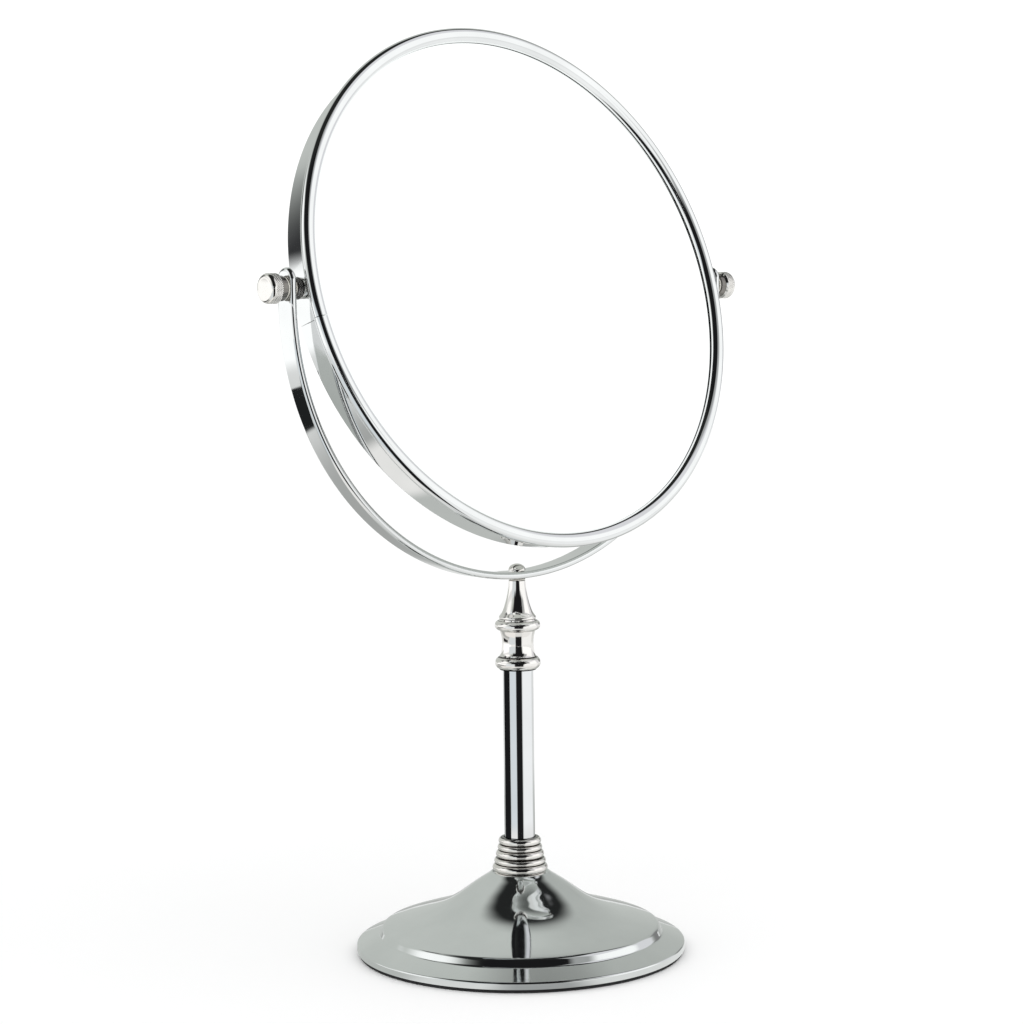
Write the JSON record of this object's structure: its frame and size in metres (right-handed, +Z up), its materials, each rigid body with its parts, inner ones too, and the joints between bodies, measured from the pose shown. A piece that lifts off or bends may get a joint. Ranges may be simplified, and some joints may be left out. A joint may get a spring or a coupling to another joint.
{
  "type": "shaving mirror",
  "caption": "Two-sided round shaving mirror that tips between the knurled pivot knobs of a half-ring yoke, on a turned stem with a weighted domed base.",
  "frame": {"origin": "centre of the underside of the foot pad, on the surface the mirror stands on", "axes": "+Z up, X along the pivots with +X to the right of someone who looks at the plane glass, -Y towards that person"},
  "size_m": [0.2376, 0.13, 0.3635],
  "materials": {
    "polished_chrome": "bright chrome plate on polished sheet and tube",
    "cast_chrome": "bright plate on turned brass, slightly warm",
    "dark_nickel": "dull plated, knurled",
    "mirror_glass": "silvered float glass",
    "zinc_steel": "zinc plated steel",
    "cast_iron": "rough black casting",
    "nylon": "natural nylon",
    "black_plastic": "moulded black plastic",
    "foam": "closed-cell black foam"
  },
  "bodies": {
    "stand": {"foot_pad": "foam", "bottom_plate": "zinc_steel", "base_weight": "cast_iron", "base_shell": "polished_chrome", "tie_rod": "zinc_steel", "tie_rod_nut": "zinc_steel", "spring_washer": "zinc_steel", "flat_washer": "zinc_steel", "beaded_collar": "cast_chrome", "column_tube": "polished_chrome", "finial": "cast_chrome", "swivel_washer": "nylon", "yoke_screw": "cast_chrome"},
    "yoke": {"yoke_strap": "polished_chrome"},
    "head": {"rim_strip": "polished_chrome", "front_glass": "mirror_glass", "rear_glass": "mirror_glass", "backing_pad": "foam", "spacer_ring": "black_plastic", "splice_plate": "zinc_steel", "clamp_plate": "zinc_steel", "pivot_stud_left": "zinc_steel", "pivot_bush_left": "cast_chrome", "lock_nut_left": "dark_nickel", "inner_washer_left": "nylon", "pivot_stud_right": "zinc_steel", "pivot_bush_right": "cast_chrome", "lock_nut_right": "dark_nickel", "inner_washer_right": "nylon"},
    "left_washer": {"outer_washer_left": "nylon"},
    "left_knob": {"knob_left": "cast_chrome"},
    "right_washer": {"outer_washer_right": "nylon"},
    "right_knob": {"knob_right": "cast_chrome"}
  },
  "joints": [
    {"name": "yoke_swivel", "type": "hinge", "parent": "stand", "child": "yoke", "pos_m": [0, 0, 0.1499], "axis": [0, 0, 1], "continuous": true},
    {"name": "head_tilt", "type": "hinge", "parent": "yoke", "child": "head", "pos_m": [0, 0, 0.2624], "axis": [1, 0, 0], "continuous": true},
    {"name": "left_knob_travel", "type": "slide", "parent": "head", "child": "left_washer", "axis": [-1, 0, 0], "range_m": [0, 0.0007]},
    {"name": "left_knob_turn", "type": "hinge", "parent": "left_washer", "child": "left_knob", "pos_m": [-0.1145, 0, 0.2624], "axis": [-1, 0, 0], "range_deg": [0, 360]},
    {"name": "right_knob_travel", "type": "slide", "parent": "head", "child": "right_washer", "axis": [1, 0, 0], "range_m": [0, 0.0007]},
    {"name": "right_knob_turn", "type": "hinge", "parent": "right_washer", "child": "right_knob", "pos_m": [0.1145, 0, 0.2624], "axis": [1, 0, 0], "range_deg": [0, 360]}
  ],
  "couplings": [
    {"joint": "left_knob_turn", "follows": "left_knob_travel", "rad_per_m": 8975.9},
    {"joint": "right_knob_turn", "follows": "right_knob_travel", "rad_per_m": 8975.9}
  ]
}
